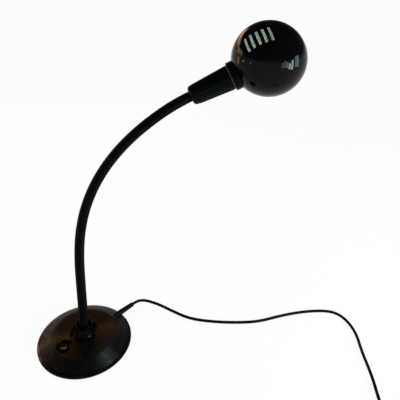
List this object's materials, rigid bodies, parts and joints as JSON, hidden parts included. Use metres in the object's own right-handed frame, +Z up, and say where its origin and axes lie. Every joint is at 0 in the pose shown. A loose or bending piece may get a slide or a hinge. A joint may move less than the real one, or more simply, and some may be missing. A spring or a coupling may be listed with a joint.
{
  "type": "gooseneck desk lamp",
  "caption": "Desk lamp with a ringed round weighted base, a recessed push switch, a flexible neck, a fluted socket cover and a swivelling ball shade with vent slots",
  "frame": {"origin": "middle of the base's underside, on the table", "axes": "+Z up, +X the way the neck bends and the head points, so the neck lies in the XZ plane"},
  "size_m": [0.5376, 0.3417, 0.5284],
  "materials": {
    "satin_black": "satin black paint over turned rings",
    "gloss_black": "high gloss black enamel",
    "neck_black": "semi-matt black over a wound tube",
    "matt_black_plastic": "matt black moulded plastic",
    "button_black": "glossy black moulded plastic",
    "inner_plastic": "plain moulded plastic, out of sight",
    "pale_nylon": "pale nylon",
    "plain_steel": "zinc plated steel",
    "cast_iron": "rough cast",
    "brass": "plain brass",
    "nickel": "nickel plated brass",
    "black_rubber": "matt black rubber",
    "black_flex": "smooth black cable sheath",
    "felt": "black felt",
    "frosted_glass": "frosted inside"
  },
  "bodies": {
    "base": {"base_cover": "satin_black", "base_lead": "black_flex", "base_plate": "plain_steel", "base_weight": "cast_iron", "clamp_screws": "plain_steel", "cord_clamp": "inner_plastic", "cord_coil": "black_flex", "cord_run": "black_flex", "cord_tie": "matt_black_plastic", "foot_nipple": "plain_steel", "foot_pad": "felt", "lead_foot": "black_flex", "neck_ferrule": "gloss_black", "neck_foot": "neck_black", "nipple_nut": "plain_steel", "nipple_washer": "plain_steel", "plate_screws": "plain_steel", "plug_body": "black_rubber", "plug_pins": "nickel", "strain_relief": "black_rubber", "switch_body": "inner_plastic", "switch_spring": "plain_steel", "terminal_block": "inner_plastic", "terminal_screws": "brass"},
    "button": {"switch_button": "button_black"},
    "neck_1": {"neck_link_1": "neck_black", "lead_1": "black_flex"},
    "neck_2": {"neck_link_2": "neck_black", "lead_2": "black_flex"},
    "neck_3": {"neck_link_3": "neck_black", "lead_3": "black_flex"},
    "neck_4": {"neck_link_4": "neck_black", "lead_4": "black_flex"},
    "neck_5": {"neck_link_5": "neck_black", "lead_5": "black_flex"},
    "neck_6": {"neck_link_6": "neck_black", "lead_6": "black_flex"},
    "neck_7": {"neck_link_7": "neck_black", "lead_7": "black_flex"},
    "neck_8": {"neck_link_8": "neck_black", "lead_8": "black_flex"},
    "neck_9": {"neck_link_9": "neck_black", "lead_9": "black_flex"},
    "head": {"neck_tip": "neck_black", "lead_tip": "black_flex", "socket_cover": "matt_black_plastic", "head_nipple": "plain_steel", "head_nut": "plain_steel", "lampholder": "inner_plastic", "holder_thread": "brass", "holder_contact": "brass", "bulb_cap": "brass", "bulb_glass": "frosted_glass", "swivel_washer": "pale_nylon", "holder_ring": "inner_plastic"},
    "shade": {"shade_collar": "matt_black_plastic", "shade_lock_ring": "plain_steel", "shade_shell": "gloss_black"}
  },
  "joints": [
    {"name": "switch_press", "type": "slide", "parent": "base", "child": "button", "axis": [0, 0, -1], "range_m": [0, 0.002], "stiffness_N_per_m": 600, "springref_m": -0.0005, "deforming": ["switch_spring"]},
    {"name": "neck_low_1", "type": "hinge", "parent": "base", "child": "neck_1", "pos_m": [0, 0, 0.057], "axis": [0, 1, 0], "range_deg": [-14, 9]},
    {"name": "neck_side_1", "type": "hinge", "parent": "neck_1", "child": "neck_2", "pos_m": [0, 0, 0.1], "axis": [1, 0, 0], "range_deg": [-14, 14]},
    {"name": "neck_low_2", "type": "hinge", "parent": "neck_2", "child": "neck_3", "pos_m": [0.00022, 0, 0.143], "axis": [0, 1, 0], "range_deg": [-14, 9]},
    {"name": "neck_low_3", "type": "hinge", "parent": "neck_3", "child": "neck_4", "pos_m": [0.00229, 0, 0.18594], "axis": [0, 1, 0], "range_deg": [-14, 9]},
    {"name": "neck_side_2", "type": "hinge", "parent": "neck_4", "child": "neck_5", "pos_m": [0.0086, 0, 0.22845], "axis": [0.9781, 0, -0.2079], "range_deg": [-14, 14]},
    {"name": "neck_high_1", "type": "hinge", "parent": "neck_5", "child": "neck_6", "pos_m": [0.0208, 0, 0.26963], "axis": [0, 1, 0], "range_deg": [-18, 13]},
    {"name": "neck_high_2", "type": "hinge", "parent": "neck_6", "child": "neck_7", "pos_m": [0.03946, 0, 0.30832], "axis": [0, 1, 0], "range_deg": [-18, 13]},
    {"name": "neck_side_3", "type": "hinge", "parent": "neck_7", "child": "neck_8", "pos_m": [0.0641, 0, 0.34351], "axis": [0.7716, 0, -0.6361], "range_deg": [-14, 14]},
    {"name": "neck_high_3", "type": "hinge", "parent": "neck_8", "child": "neck_9", "pos_m": [0.09373, 0, 0.37462], "axis": [0, 1, 0], "range_deg": [-18, 13]},
    {"name": "neck_high_4", "type": "hinge", "parent": "neck_9", "child": "head", "pos_m": [0.12706, 0, 0.40175], "axis": [0, 1, 0], "range_deg": [-18, 13]},
    {"name": "shade_swivel", "type": "hinge", "parent": "head", "child": "shade", "pos_m": [0.22167, 0, 0.45357], "axis": [0.8918, 0, 0.4524], "continuous": true}
  ],
  "couplings": [
    {"joint": "neck_low_2", "follows": "neck_low_1", "ratio": 1},
    {"joint": "neck_low_3", "follows": "neck_low_1", "ratio": 1},
    {"joint": "neck_side_2", "follows": "neck_side_1", "ratio": 1},
    {"joint": "neck_high_2", "follows": "neck_high_1", "ratio": 1},
    {"joint": "neck_side_3", "follows": "neck_side_1", "ratio": 1},
    {"joint": "neck_high_3", "follows": "neck_high_1", "ratio": 1},
    {"joint": "neck_high_4", "follows": "neck_high_1", "ratio": 1}
  ]
}
